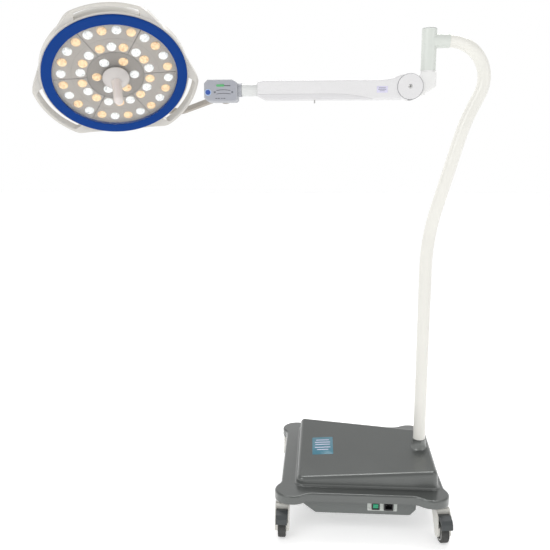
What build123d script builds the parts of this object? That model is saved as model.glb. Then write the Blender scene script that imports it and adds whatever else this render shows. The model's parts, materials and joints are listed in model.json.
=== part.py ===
from build123d import *
from math import cos, radians, sin, tan
import os

os.makedirs("parts", exist_ok=True)

# Mobile surgical light.  Millimetres, +Z up.  The origin is on the floor, under the
# centre of the base; +X runs from the light head towards the pole, +Y to the back.

# ---- fits ----
slip = 0.1  # between fixed pieces that pass through each other
run_fit = 0.05  # radial play of a shaft in its bore
face_gap = 0.3  # between faces that turn on each other

# ---- base ----
base_w = 616  # over the corner lobes
base_d = 680
lobe_r = 62
waist_left = 20  # how far the sides fall in between the lobes
waist_right = 11
waist_front = 28
lobe_blend = 55
flange_bottom = 130
flange_top = 160
cover_wall = 4
plinth_left = -236
plinth_right = 281
plinth_front = -262
plinth_back = 300
plinth_corner = 30
plinth_taper = 5
deck_front_right = 223  # height of the deck at its front right corner
deck_rise_x = 0.068  # the deck climbs towards the pole
deck_rise_y = 0.135  # and towards the back
deck_edge_x = (-192, 227)  # where the deck turns down at the back
deck_edge_y = (160, 43)
deck_foot_run = 126  # the back slope reaches the flange this far behind
deck_round = 16
flange_round = 7
foot_blend = 9  # where the plinth stands on the flange
plinth_blank = 170  # height of the block that the plinth is cut from

chassis_t = 8
counterweight_size = (300, 240, 50)
counterweight_at = (-5, -95)
mount_w = 94
mount_plate_t = 8
mount_h = 60
mount_wall = 6
mount_pitch = 70
mount_bolt_r = 4
battery_size = (170, 210, 46)
battery_at_x = -58
supply_size = (110, 190, 38)
supply_at_x = 95

# ---- tray under the base, with the mains inlet ----
tray_bottom = 75
tray_left = -210
tray_right = 195
tray_corner = 48
tray_front = -290
tray_back = 230
tray_wall = 3
plate_w = 105
plate_h = 37
plate_t = 1.5
plate_x = 74
plate_z = 110
switch_x = 51
switch_cut = 22
bezel_w = 28
bezel_t = 3
rocker_w = 18
rocker_profile = ((-5.4, 8.5), (-3.4, 0), (-2, -8.5), (1, -8.5), (3, -5), (3, 5), (1, 8.5))
screw_r = 3
inlet_x = 96.5
inlet_cut_w = 28
inlet_cut_h = 26
inlet_rim = 3
inlet_depth = 24

# ---- casters ----
wheel_r = 37.5
wheel_w = 27
tyre_t = 8.5
axle_r = 5
caster_trail = 30
fork_w = 50
fork_top = 118
stem_x = 279
stem_y = 289
stem_r = 7
stem_plate_r = 27
stem_plate_t = 5
stem_depth = 18
fork_hub_r = 17
pedal_w = 40
pedal_pin = (6, 94)  # from the wheel's axle line, and its height
pedal_pin_r = 3
pedal_back = -4
pedal_profile = (
    (-7, -4),
    (-7, 8),
    (12, 12),
    (32, 4),
    (40, -8),
    (43, -26),
    (38, -27),
    (35, -10),
    (24, -6),
    (8, -5),
)
caster_headings = {"front_left": -91, "front_right": -82, "back_left": 96, "back_right": 62}

# ---- pole ----
pole_r = 22.5
pole_wall = 3
pole_x = 229
pole_y = -75
pole_straight_top = 930
pole_lean = 16
pole_lean_r = 800
pole_lean_run = 260
pole_upper_lean = 10
pole_upper_r = 600
pole_upper_run = 52
crook_r = 126
collar_h = 32
collar_foot_r = 34

# ---- column, on the end of the pole ----
column_x = 212
column_r = 26
column_bore_r = 20
column_bottom = pole_straight_top + 696
column_top = column_bottom + 138
stub_r = 24.5
stub_len = 69
weld_r = 5
cap_h = 3.5
bush_len = 22
spindle_r = 15

# ---- spring arm ----
arm_pivot_x = 149
arm_pivot_z = column_bottom - 55
disc_r = 43
disc_t = 4
arm_w = 60
arm_wall = 4
arm_top = arm_pivot_z + 25
arm_bottom = arm_pivot_z - 41
arm_left = -355
arm_nose = 28
arm_round = 7
arm_pin_r = 9
knuckle_w = 52
tongue_w = 34
neck_reach = 52  # from the pivot into the knuckle's block
neck_half_h = 27
ring_h = 6
seam_z = arm_pivot_z - 23
seam_bend_x = -120
seam_end_x = 22
seam_gap = 0.4
tube_r = 22
tube_wall = 5
tube_z = arm_pivot_z - 5
tube_end = -439
tube_in_arm = 22
spring_r = 13
spring_z = arm_pivot_z
spring_len = 150
rod_r = 4
rod_len = 320
rod_clearance = 30  # between the rod and the knuckle's tongue
seat_h = 44
adjuster_x = -181
adjuster_r = 2.5
adjuster_drop = 11

# ---- control box ----
box_left = -570
box_right = -453
box_bottom = arm_pivot_z - 46
box_top = arm_pivot_z + 28
box_depth = 66
box_wall = 3
box_corner = 12
neck_r = 23.5
button_r = 8
button_x = -556
button_z = arm_pivot_z - 15
panel_t = 3
panel_inset = 4
button_proud = 2
button_stem_r = 4
spigot_len = 52
root_pin_len = 26

# ---- yoke ----
yoke_root = (-504, arm_pivot_z - 17)  # x and z of its pivot on the back of the control box
root_r = 31
root_t = 18
root_pin_r = 12
yoke_bend = (-688, 165, arm_pivot_z - 52)  # end of the straight stretch
yoke_h = 26
yoke_t = 14
hub_at = (-30, -100, -165)  # tilt axis, in the head's own plane
barrel_r = 19
barrel_len = 46
tilt_pin_r = 8
cheek_t = 10
hub_foot_t = 8

# ---- light head ----
head_centre = (-876.4, -130.7, arm_pivot_z + 30.5)
face_normal = (0.2514, -0.6494, -0.7177)
bezel_r = 250
glass_r = 217
glass_t = 4
rim_r = 257
rim_front = -8
rim_back = -42
back_z = -80
back_flat_r = 170
shell_wall = 3.5
carrier_r = 214
carrier_t = 6
carrier_front = -17
board_t = 2
lens_r = 17
lens_h = 6
outer_ring_r = 185
middle_ring_r = 120
inner_ring_r = 65
sector_start = 52.5
flange_dome_r = 46.5
flange_dome_h = 24
grip_r = 17.5
grip_tip = 127
spigot_r = 9
loop_at = 82.5  # the first of three loops, a third of a turn apart
loop_r = 293
loop_half = 24
loop_foot_half = 49
loop_gap_half = 24
loop_corner = 60
loop_end_turn = 6  # degrees that the gap's rounded ends close by, towards the bar
loop_front = -1
loop_root_front = -10
loop_back = -23
loop_gap_r = 273  # outer bound of the finger gap, at the back
glass_front = -5
ledge_r = 236
core_r = 7
groove_r = (152, 98)
groove_w = 1.6

face = Vector(*face_normal).normalized()
head_x = (Vector(1, 0, 0) - face * face.X).normalized()
head_plane = Plane(origin=head_centre, x_dir=head_x, z_dir=face)
head_profile = Plane(origin=head_centre, x_dir=head_x, z_dir=-head_plane.y_dir)
head_axis = Axis(head_centre, face)


def save(piece, name):
    """Label a finished piece and write it under its own name."""
    piece.part.label = name
    export_step(piece.part, f"parts/{name}.step")


def upright(y):
    """The XZ plane at a given y.  It faces the front, so it extrudes towards -Y."""
    return Plane.XZ.offset(-y)


def post(radius, at, direction, length):
    """A plain round bar that starts at a point and runs along a direction."""
    with BuildPart(Plane(origin=at, z_dir=direction), mode=Mode.PRIVATE) as bar:
        Cylinder(radius, length, align=(Align.CENTER, Align.CENTER, Align.MIN))
    return bar.part


# ======================= base cover =======================

deck_slope = Vector(-deck_rise_x, -deck_rise_y, 1).normalized()


def deck_z(x, y):
    """Height of the deck above a point of the floor."""
    return deck_front_right + deck_rise_x * (x - plinth_right) + deck_rise_y * (y - plinth_front)


def deck_plane(depth):
    """The deck, or a plane that lies the given depth under it."""
    return Plane(origin=(0, 0, deck_z(0, 0)), z_dir=deck_slope).offset(-depth)


def back_plane(depth):
    """The slope behind the deck, or a plane that lies the given depth under it."""
    left = Vector(deck_edge_x[0], deck_edge_y[0], deck_z(deck_edge_x[0], deck_edge_y[0]))
    right = Vector(deck_edge_x[1], deck_edge_y[1], deck_z(deck_edge_x[1], deck_edge_y[1]))
    foot = Vector(deck_edge_x[0], deck_edge_y[0] + deck_foot_run, flange_top)
    return Plane(origin=left, z_dir=(right - left).cross(foot - left)).offset(-depth)


def flange_outline(inset):
    """Plan of the flange: a rectangle with a round lobe over each caster."""
    left = waist_left + inset - base_w / 2
    right = base_w / 2 - waist_right - inset
    half_d = base_d / 2 - waist_front - inset
    with BuildSketch() as outline:
        with Locations(((left + right) / 2, 0)):
            Rectangle(right - left, 2 * half_d)
        with GridLocations(base_w - 2 * lobe_r, base_d - 2 * lobe_r, 2, 2):
            Circle(lobe_r - inset)
        notches = [
            v
            for v in outline.vertices()
            if min(abs(v.X - left), abs(v.X - right), abs(abs(v.Y) - half_d)) < 0.01
        ]
        fillet(notches, lobe_blend + inset)
    return outline.sketch


def plinth_body(inset, rounding):
    """The plinth on the flange, cut off by the deck and by the slope behind it."""
    wide = plinth_right - plinth_left - 2 * inset
    deep = plinth_back - plinth_front - 2 * inset
    middle = ((plinth_left + plinth_right) / 2, (plinth_front + plinth_back) / 2)
    with BuildPart() as body:
        with BuildSketch(Plane.XY.offset(flange_bottom)):
            with Locations(middle):
                RectangleRounded(wide, deep, plinth_corner - inset)
        extrude(amount=plinth_blank, taper=plinth_taper)
        split(bisect_by=deck_plane(inset), keep=Keep.BOTTOM)
        split(bisect_by=back_plane(inset), keep=Keep.BOTTOM)
        fillet(body.edges().filter_by(is_rounded), rounding)
    return body.part


def is_rounded(edge):
    """Whether a plinth edge is rounded: not its lower outline, nor the lines of its corners."""
    box = edge.bounding_box()
    starts_low = box.min.Z < flange_bottom + 0.5
    runs_down_the_slope = box.size.Z > 1 and box.size.Y > 60
    return runs_down_the_slope or not starts_low


def is_plinth_foot(edge):
    """Whether an edge is where the plinth stands on the flange."""
    box = edge.bounding_box()
    across = box.min.X > plinth_left - 1 and box.max.X < plinth_right + 1
    along = box.min.Y > plinth_front - 1 and box.max.Y < plinth_back + 1
    return across and along and box.min.Z > flange_top - 0.01 and box.max.Z < flange_top + 0.01


with BuildPart() as base_cover:
    with BuildSketch(Plane.XY.offset(flange_bottom)):
        add(flange_outline(0))
    extrude(amount=flange_top - flange_bottom)
    fillet(base_cover.edges().group_by(Axis.Z)[-1], flange_round)
    add(plinth_body(0, deck_round))
    fillet(base_cover.edges().filter_by(is_plinth_foot), foot_blend)
    with BuildSketch(Plane.XY.offset(flange_bottom)):
        add(flange_outline(cover_wall))
    extrude(amount=flange_top - flange_bottom - cover_wall, mode=Mode.SUBTRACT)
    add(plinth_body(cover_wall, deck_round - cover_wall), mode=Mode.SUBTRACT)
    add(
        post(pole_r + slip, (pole_x, pole_y, flange_top), (0, 0, 1), plinth_blank),
        mode=Mode.SUBTRACT,
    )
save(base_cover, "base_cover")

# A moulded collar closes the gap round the pole, and sits on the sloping deck.
with BuildPart() as pole_collar:
    collar_low = deck_z(pole_x, pole_y) - collar_foot_r * (deck_rise_x + deck_rise_y)
    collar_top = deck_z(pole_x, pole_y) + collar_h
    with BuildSketch(Plane(origin=(pole_x, pole_y, 0), x_dir=(1, 0, 0), z_dir=(0, -1, 0))):
        with BuildLine():
            Polyline(
                (pole_r + 2.5, collar_top),
                (pole_r + slip, collar_top),
                (pole_r + slip, collar_low),
                (collar_foot_r, collar_low),
            )
            ThreePointArc(
                (collar_foot_r, collar_low),
                (pole_r + 4.5, collar_low + 0.45 * collar_h),
                (pole_r + 2.5, collar_top),
            )
        make_face()
    revolve(axis=Axis((pole_x, pole_y, 0), (0, 0, 1)))
    split(bisect_by=deck_plane(0), keep=Keep.TOP)
save(pole_collar, "pole_collar")

# ======================= chassis =======================

with BuildPart() as chassis_plate:
    with BuildSketch(Plane.XY.offset(flange_bottom)):
        add(flange_outline(cover_wall))
        with Locations((-stem_x, -stem_y), (stem_x, -stem_y), (-stem_x, stem_y), (stem_x, stem_y)):
            Circle(stem_r + slip, mode=Mode.SUBTRACT)
    extrude(amount=chassis_t)
save(chassis_plate, "chassis_plate")

chassis_top = flange_bottom + chassis_t

with BuildPart() as counterweight:
    with BuildSketch(Plane.XY.offset(chassis_top)):
        with Locations(counterweight_at):
            RectangleRounded(counterweight_size[0], counterweight_size[1], 12)
    extrude(amount=counterweight_size[2])
    chamfer(counterweight.edges().group_by(Axis.Z)[-1], 4)
save(counterweight, "counterweight")


with BuildPart() as pole_mount:
    with BuildSketch(Plane.XY.offset(chassis_top)):
        with Locations((pole_x, pole_y)):
            RectangleRounded(mount_w, mount_w, 10)
            Circle(pole_r + slip, mode=Mode.SUBTRACT)
        with Locations((pole_x, pole_y)):
            with GridLocations(mount_pitch, mount_pitch, 2, 2):
                Circle(mount_bolt_r + slip, mode=Mode.SUBTRACT)
    extrude(amount=mount_plate_t)
    with BuildSketch(Plane.XY.offset(chassis_top + mount_plate_t)):
        with Locations((pole_x, pole_y)):
            Circle(pole_r + mount_wall)
            Circle(pole_r + slip, mode=Mode.SUBTRACT)
    extrude(amount=mount_h - mount_plate_t)
save(pole_mount, "pole_mount")

with BuildPart() as pole_bolts:
    with BuildSketch(Plane.XY.offset(chassis_top + mount_plate_t)):
        with Locations((pole_x, pole_y)):
            with GridLocations(mount_pitch, mount_pitch, 2, 2):
                RegularPolygon(mount_bolt_r * 1.7, 6)
    extrude(amount=mount_bolt_r * 1.2)
    with BuildSketch(Plane.XY.offset(chassis_top)):
        with Locations((pole_x, pole_y)):
            with GridLocations(mount_pitch, mount_pitch, 2, 2):
                Circle(mount_bolt_r)
    extrude(amount=mount_plate_t)
save(pole_bolts, "pole_bolts")

# ======================= tray under the base =======================

def tray_outline(inset):
    """The tray seen from the front: a trough with sloping sides."""
    with BuildSketch(upright(tray_front + inset)) as outline:
        with BuildLine():
            Polyline(
                (tray_left + inset, flange_bottom),
                (tray_left + inset + 4, flange_bottom - 22),
                (tray_left + tray_corner + 0.4 * inset, tray_bottom + inset),
                (tray_right - 22 - 0.4 * inset, tray_bottom + inset),
                (tray_right - inset - 2, tray_bottom + 22),
                (tray_right - inset, flange_bottom),
                close=True,
            )
        make_face()
    return outline.sketch


def on_tray_front(x, z):
    """The tray's front face, with its origin at one x and z."""
    return Plane(origin=(x, tray_front, z), x_dir=(1, 0, 0), z_dir=(0, -1, 0))


with BuildPart() as lower_tray:
    with BuildSketch(upright(tray_front)):
        add(tray_outline(0))
    extrude(amount=-(tray_back - tray_front))
    fillet(lower_tray.edges().filter_by(Axis.Y).group_by(Axis.Z)[0], 14)
    fillet(
        [
            e
            for e in lower_tray.edges().group_by(Axis.Y)[0]
            if e.center().Z < flange_bottom - 1
        ],
        6,
    )
    with BuildSketch(upright(tray_front + tray_wall)):
        add(tray_outline(tray_wall))
    extrude(amount=-(tray_back - tray_front - 2 * tray_wall), mode=Mode.SUBTRACT)
    with BuildSketch(on_tray_front(switch_x, plate_z)):
        Rectangle(switch_cut + 2 * slip, switch_cut + 2 * slip)
    extrude(amount=-2 * tray_wall, mode=Mode.SUBTRACT)
    with BuildSketch(on_tray_front(inlet_x, plate_z)):
        Rectangle(inlet_cut_w + 2 * slip, inlet_cut_h + 2 * slip)
    extrude(amount=-2 * tray_wall, mode=Mode.SUBTRACT)
save(lower_tray, "lower_tray")

with BuildPart() as inlet_plate:
    with BuildSketch(on_tray_front(plate_x, plate_z)):
        RectangleRounded(plate_w, plate_h, 4)
        with Locations((switch_x - plate_x, 0)):
            Rectangle(switch_cut + 2 * slip, switch_cut + 2 * slip, mode=Mode.SUBTRACT)
        with Locations((inlet_x - plate_x, 0)):
            Rectangle(inlet_cut_w + 2 * slip, inlet_cut_h + 2 * slip, mode=Mode.SUBTRACT)
    extrude(amount=plate_t)
save(inlet_plate, "inlet_plate")

screw_places = [(sign * (plate_w / 2 - 6), 6 - plate_h / 2) for sign in (-1, 1)]

with BuildPart() as plate_screws:
    with BuildSketch(on_tray_front(plate_x, plate_z).offset(plate_t)):
        with Locations(*screw_places):
            Circle(screw_r)
    extrude(amount=1.6)
    fillet(plate_screws.faces().sort_by(Axis.Y)[:2].edges(), 0.8)
    with BuildSketch(on_tray_front(plate_x, plate_z).offset(plate_t + 1.6)):
        with Locations(*screw_places):
            Rectangle(screw_r * 1.3, 0.8)
            Rectangle(0.8, screw_r * 1.3)
    extrude(amount=-0.7, mode=Mode.SUBTRACT)
save(plate_screws, "plate_screws")

with BuildPart() as inlet_socket:
    with BuildSketch(on_tray_front(inlet_x, plate_z).offset(plate_t)):
        RectangleRounded(inlet_cut_w + 6, inlet_cut_h + 6, 3)
    extrude(amount=inlet_rim)
    with BuildSketch(on_tray_front(inlet_x, plate_z).offset(plate_t)):
        Rectangle(inlet_cut_w, inlet_cut_h)
    extrude(amount=-inlet_depth)
    with BuildSketch(on_tray_front(inlet_x, plate_z).offset(plate_t + inlet_rim)):
        Rectangle(inlet_cut_w - 4, inlet_cut_h - 5)
    extrude(amount=-(inlet_rim + inlet_depth - 4), mode=Mode.SUBTRACT)
    with BuildSketch(on_tray_front(inlet_x, plate_z).offset(4 - inlet_depth)):
        with Locations((-7, -2), (0, 3), (7, -2)):
            Rectangle(2, 5)
    extrude(amount=inlet_depth - 10)
save(inlet_socket, "inlet_socket")

rocker_pivot_y = tray_front - plate_t - bezel_t + 3.4

with BuildPart() as switch_bezel:
    with BuildSketch(on_tray_front(switch_x, plate_z).offset(plate_t)):
        RectangleRounded(bezel_w, bezel_w, 2)
    extrude(amount=bezel_t)
    with BuildSketch(on_tray_front(switch_x, plate_z).offset(plate_t)):
        Rectangle(switch_cut, switch_cut)
    extrude(amount=-18)
    with BuildSketch(on_tray_front(switch_x, plate_z).offset(plate_t + bezel_t)):
        Rectangle(rocker_w + 1, switch_cut - 1.4)
    extrude(amount=-14, mode=Mode.SUBTRACT)
save(switch_bezel, "switch_bezel")

with BuildPart() as switch_rocker:
    with BuildSketch(Plane.YZ.offset(switch_x - rocker_w / 2)):
        with BuildLine():
            Polyline(*[(rocker_pivot_y + a, plate_z + b) for a, b in rocker_profile], close=True)
        make_face()
    extrude(amount=rocker_w)
save(switch_rocker, "switch_rocker")

with BuildPart() as battery_pack:
    with BuildSketch(Plane.XY.offset(tray_bottom + tray_wall)):
        with Locations((battery_at_x, -90)):
            RectangleRounded(battery_size[0], battery_size[1], 5)
    extrude(amount=battery_size[2])
    chamfer(battery_pack.edges().group_by(Axis.Z)[-1], 2)
save(battery_pack, "battery_pack")

with BuildPart() as power_supply:
    with BuildSketch(Plane.XY.offset(tray_bottom + tray_wall)):
        with Locations((supply_at_x, -120)):
            RectangleRounded(supply_size[0], supply_size[1], 3)
    extrude(amount=supply_size[2])
    with BuildSketch(Plane.XY.offset(tray_bottom + tray_wall + supply_size[2])):
        with Locations((supply_at_x, -120)):
            with GridLocations(0, 12, 1, 9):
                Rectangle(supply_size[0] - 20, 4)
    extrude(amount=-4, mode=Mode.SUBTRACT)
save(power_supply, "power_supply")

# ======================= casters =======================

with BuildPart() as caster_stems:
    for corner in ((-1, -1), (1, -1), (-1, 1), (1, 1)):
        at = (corner[0] * stem_x, corner[1] * stem_y)
        with BuildSketch(Plane.XY.offset(flange_bottom - stem_plate_t)):
            with Locations(at):
                Circle(stem_plate_r)
        extrude(amount=stem_plate_t)
        with BuildSketch(Plane.XY.offset(fork_top + face_gap)):
            with Locations(at):
                Circle(stem_r * 2)
        extrude(amount=flange_bottom - stem_plate_t - fork_top - face_gap)
        with BuildSketch(Plane.XY.offset(fork_top - stem_depth)):
            with Locations(at):
                Circle(stem_r)
        extrude(amount=stem_depth + flange_bottom + chassis_t - fork_top)
save(caster_stems, "caster_stems")


def caster_side(x, y, heading, across):
    """The vertical plane along a caster's wheel; its x runs from the stem to the wheel."""
    along = Vector(cos(radians(heading)), sin(radians(heading)), 0)
    normal = Vector(sin(radians(heading)), -cos(radians(heading)), 0)
    return Plane(origin=Vector(x, y, 0) + normal * across, x_dir=along, z_dir=normal)


def caster(corner, x, y, heading):
    """One braked twin-cheek caster: fork with axle, hub, tyre and brake pedal."""
    pin_at = (caster_trail + pedal_pin[0], pedal_pin[1])
    gap = wheel_w + 3
    with BuildPart() as fork:
        with BuildSketch(caster_side(x, y, heading, -fork_w / 2)):
            with Locations((caster_trail, wheel_r)):
                Circle(fork_hub_r)
            with BuildLine():
                Polyline(
                    (-22, fork_top - 20),
                    (-22, fork_top),
                    (22, fork_top),
                    (caster_trail + 14, fork_top - 20),
                    (caster_trail + fork_hub_r, wheel_r + 6),
                    (caster_trail - fork_hub_r, wheel_r - 2),
                    close=True,
                )
            make_face()
        extrude(amount=fork_w)
        with BuildSketch(caster_side(x, y, heading, -gap / 2)):
            with Locations((caster_trail, wheel_r)):
                Circle(wheel_r + 3.5)
            with Locations((caster_trail + 30, wheel_r - 20)):
                Rectangle(120, 40)
        extrude(amount=gap, mode=Mode.SUBTRACT)
        with BuildSketch(caster_side(x, y, heading, -pedal_w / 2 - 1)):
            with Locations((caster_trail + pedal_back + 22, fork_top - 20)):
                Rectangle(44, 80)
        extrude(amount=pedal_w + 2, mode=Mode.SUBTRACT)
        with Locations(Plane(origin=(x, y, fork_top))):
            Cylinder(stem_r + run_fit, 2 * stem_depth + 2, mode=Mode.SUBTRACT)
        with BuildSketch(caster_side(x, y, heading, -fork_w / 2)):
            with Locations((caster_trail, wheel_r)):
                Circle(axle_r)
            with Locations(pin_at):
                Circle(pedal_pin_r)
        extrude(amount=fork_w)
    save(fork, f"caster_fork_{corner}")

    with BuildPart() as hub:
        with BuildSketch(caster_side(x, y, heading, -wheel_w / 2)):
            with Locations((caster_trail, wheel_r)):
                Circle(wheel_r - tyre_t)
                Circle(axle_r + run_fit, mode=Mode.SUBTRACT)
        extrude(amount=wheel_w)
        for side in (-1, 1):
            with BuildSketch(caster_side(x, y, heading, side * wheel_w / 2)):
                with Locations((caster_trail, wheel_r)):
                    Circle(wheel_r - tyre_t - 4)
                    Circle(axle_r + 5, mode=Mode.SUBTRACT)
            extrude(amount=-side * 7, mode=Mode.SUBTRACT)
    save(hub, f"caster_hub_{corner}")

    with BuildPart() as tyre:
        with BuildSketch(caster_side(x, y, heading, -wheel_w / 2)):
            with Locations((caster_trail, wheel_r)):
                Circle(wheel_r)
                Circle(wheel_r - tyre_t, mode=Mode.SUBTRACT)
        extrude(amount=wheel_w)
        outer = [e for e in tyre.edges().filter_by(GeomType.CIRCLE) if e.radius > wheel_r - 1]
        fillet(outer, 4)
    save(tyre, f"caster_tyre_{corner}")

    with BuildPart() as pedal:
        with BuildSketch(caster_side(x, y, heading, -pedal_w / 2)):
            with BuildLine():
                Polyline(*[(pin_at[0] + a, pin_at[1] + b) for a, b in pedal_profile], close=True)
            make_face()
            with Locations(pin_at):
                Circle(pedal_pin_r + run_fit, mode=Mode.SUBTRACT)
        extrude(amount=pedal_w)
    save(pedal, f"caster_pedal_{corner}")


for corner, heading in caster_headings.items():
    side = 1 if "right" in corner else -1
    end = 1 if "back" in corner else -1
    caster(corner, side * stem_x, end * stem_y, heading)

# ======================= pole and column =======================

# The pole rises straight, leans outwards in a long bend, and comes back over the
# column in a tight crook.  Its upper part lies in the XZ plane through the column.
pole_side = Plane(origin=(0, pole_y, 0), x_dir=(1, 0, 0), z_dir=(0, -1, 0))
pole_foot = chassis_top

with BuildPart() as pole:
    with BuildLine(pole_side) as route:
        rise = Line((pole_x, pole_foot), (pole_x, pole_straight_top))
        bend = JernArc(rise @ 1, rise % 1, pole_lean_r, -pole_lean)
        lean = PolarLine(bend @ 1, pole_lean_run, 90 - pole_lean)
        upper = JernArc(lean @ 1, lean % 1, pole_upper_r, -pole_upper_lean)
        steep = PolarLine(upper @ 1, pole_upper_run, 90 - pole_lean - pole_upper_lean)
        crook = JernArc(steep @ 1, steep % 1, crook_r, 90 + pole_lean + pole_upper_lean)
        Line(crook @ 1, (column_x + column_r + 1, (crook @ 1).Z))
    with BuildSketch(Plane.XY.offset(pole_foot)):
        with Locations((pole_x, pole_y)):
            Circle(pole_r)
            Circle(pole_r - pole_wall, mode=Mode.SUBTRACT)
    sweep()
save(pole, "pole")

stub_z = (crook @ 1).Z

with BuildPart() as column_tube:
    with BuildSketch(Plane.XY.offset(column_bottom)):
        with Locations((column_x, pole_y)):
            Circle(column_r)
    extrude(amount=column_top - column_bottom)
    with BuildSketch(Plane.YZ.offset(column_x)):
        with Locations((pole_y, stub_z)):
            Circle(stub_r)
    extrude(amount=stub_len)
    crossing = column_tube.edges().filter_by(GeomType.BSPLINE) + column_tube.edges().filter_by(
        GeomType.OTHER
    )
    fillet(crossing, weld_r)
    with BuildSketch(Plane.YZ.offset(column_x + column_r)):
        with Locations((pole_y, stub_z)):
            Circle(pole_r + slip)
    extrude(amount=stub_len, mode=Mode.SUBTRACT)
    with BuildSketch(Plane.XY.offset(column_bottom)):
        with Locations((column_x, pole_y)):
            Circle(column_bore_r)
    extrude(amount=column_top - column_bottom, mode=Mode.SUBTRACT)
save(column_tube, "column_tube")

with BuildPart() as column_cap:
    with BuildSketch(Plane.XY.offset(column_top)):
        with Locations((column_x, pole_y)):
            Circle(column_r)
    extrude(amount=cap_h)
    fillet(column_cap.edges().group_by(Axis.Z)[-1], 2.5)
    with BuildSketch(Plane.XY.offset(column_top - 6)):
        with Locations((column_x, pole_y)):
            Circle(column_bore_r - slip)
    extrude(amount=6)
save(column_cap, "column_cap")

with BuildPart() as column_bushes:
    for low in (column_bottom, column_top - 2 * bush_len):
        with BuildSketch(Plane.XY.offset(low)):
            with Locations((column_x, pole_y)):
                Circle(column_bore_r - slip / 2)
                Circle(spindle_r + run_fit, mode=Mode.SUBTRACT)
        extrude(amount=bush_len)
save(column_bushes, "column_bushes")

# ======================= knuckle under the column =======================

collar_z = column_bottom - face_gap
tongue_r = disc_r - arm_wall - 0.6

with BuildPart() as knuckle:
    with BuildSketch(upright(pole_y + knuckle_w / 2)):
        with BuildLine():
            Polyline(
                (column_x - column_r + 2, collar_z - ring_h),
                (column_x + column_r, collar_z - ring_h),
                (column_x + column_r, arm_pivot_z),
                (column_x - 16, arm_bottom + 16),
                (arm_pivot_x + 19, arm_bottom + 2),
                (arm_pivot_x + 12, arm_pivot_z),
                close=True,
            )
        make_face()
        with Locations((arm_pivot_x, arm_pivot_z)):
            Circle(disc_r + 1.5, mode=Mode.SUBTRACT)
    extrude(amount=knuckle_w)
    long_edges = knuckle.edges().filter_by(GeomType.LINE).filter_by(Axis.Y, reverse=True)
    fillet(long_edges.filter_by(lambda e: e.center().Z < collar_z - ring_h - 1), 6)
    with BuildSketch(upright(pole_y + tongue_w / 2)):
        with Locations((arm_pivot_x, arm_pivot_z)):
            Circle(tongue_r)
        with Locations((arm_pivot_x + neck_reach / 2, arm_pivot_z + 1)):
            Rectangle(neck_reach, 2 * neck_half_h)
        with Locations((arm_pivot_x, arm_pivot_z)):
            Circle(arm_pin_r + run_fit, mode=Mode.SUBTRACT)
    extrude(amount=tongue_w)
    with BuildSketch(Plane.XY.offset(collar_z - ring_h)):
        with Locations((column_x, pole_y)):
            Circle(column_r)
    extrude(amount=ring_h)
    with BuildSketch(Plane.XY.offset(collar_z)):
        with Locations((column_x, pole_y)):
            Circle(spindle_r)
    extrude(amount=column_top - 14 - collar_z)
save(knuckle, "knuckle")

# ======================= spring arm =======================

arm_front = pole_y - arm_w / 2
arm_back = pole_y + arm_w / 2


def arm_outline(inset):
    """The arm seen from the front, from its pivot disc to its nose."""
    with BuildSketch(upright(arm_back - inset)) as outline:
        with BuildLine():
            nose_top = Line((arm_left - arm_nose, arm_top - 4), (arm_left, arm_top))
            flat = Line(nose_top @ 1, (arm_pivot_x - 105, arm_top))
            rise = TangentArc(flat @ 1, (arm_pivot_x - 40, arm_top + 13), tangent=Vector(1, 0, 0))
            Polyline(
                rise @ 1,
                (arm_pivot_x, arm_pivot_z + disc_r),
                (arm_pivot_x, arm_bottom),
                (arm_left, arm_bottom),
                (arm_left - arm_nose, seam_z - 4),
                nose_top @ 0,
            )
        make_face()
        with Locations((arm_pivot_x, arm_pivot_z)):
            Circle(disc_r)
        if inset:
            offset(amount=-inset)
    return outline.sketch


def seam_region(gap):
    """Everything under the seam between the arm's shell and its lower cover."""
    with BuildSketch(upright(arm_back + 5)) as region:
        with BuildLine():
            start = (arm_left - arm_nose - 10, seam_z + gap)
            run = Line(start, (seam_bend_x, seam_z + gap))
            drop = TangentArc(run @ 1, (seam_end_x, arm_bottom + gap), tangent=Vector(1, 0, 0))
            Polyline(
                drop @ 1,
                (seam_end_x + 12, arm_bottom - 20),
                (start[0], arm_bottom - 20),
                start,
            )
        make_face()
    return region.sketch


with BuildPart() as arm_blank:
    add(extrude(arm_outline(0), amount=arm_w, mode=Mode.PRIVATE))
    outline_edges = arm_blank.edges().filter_by(Axis.Y, reverse=True)
    fillet(
        outline_edges.filter_by(lambda e: e.center().X < arm_pivot_x - disc_r - 4), arm_round
    )

rod_end_x = arm_pivot_x - tongue_r - rod_clearance
seat_x = rod_end_x - rod_len + spring_len
arm_hollow = extrude(arm_outline(arm_wall), amount=arm_w - 2 * arm_wall)
under_seam = extrude(seam_region(0), amount=arm_w + 10)
over_seam = extrude(seam_region(seam_gap), amount=arm_w + 10)

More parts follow.
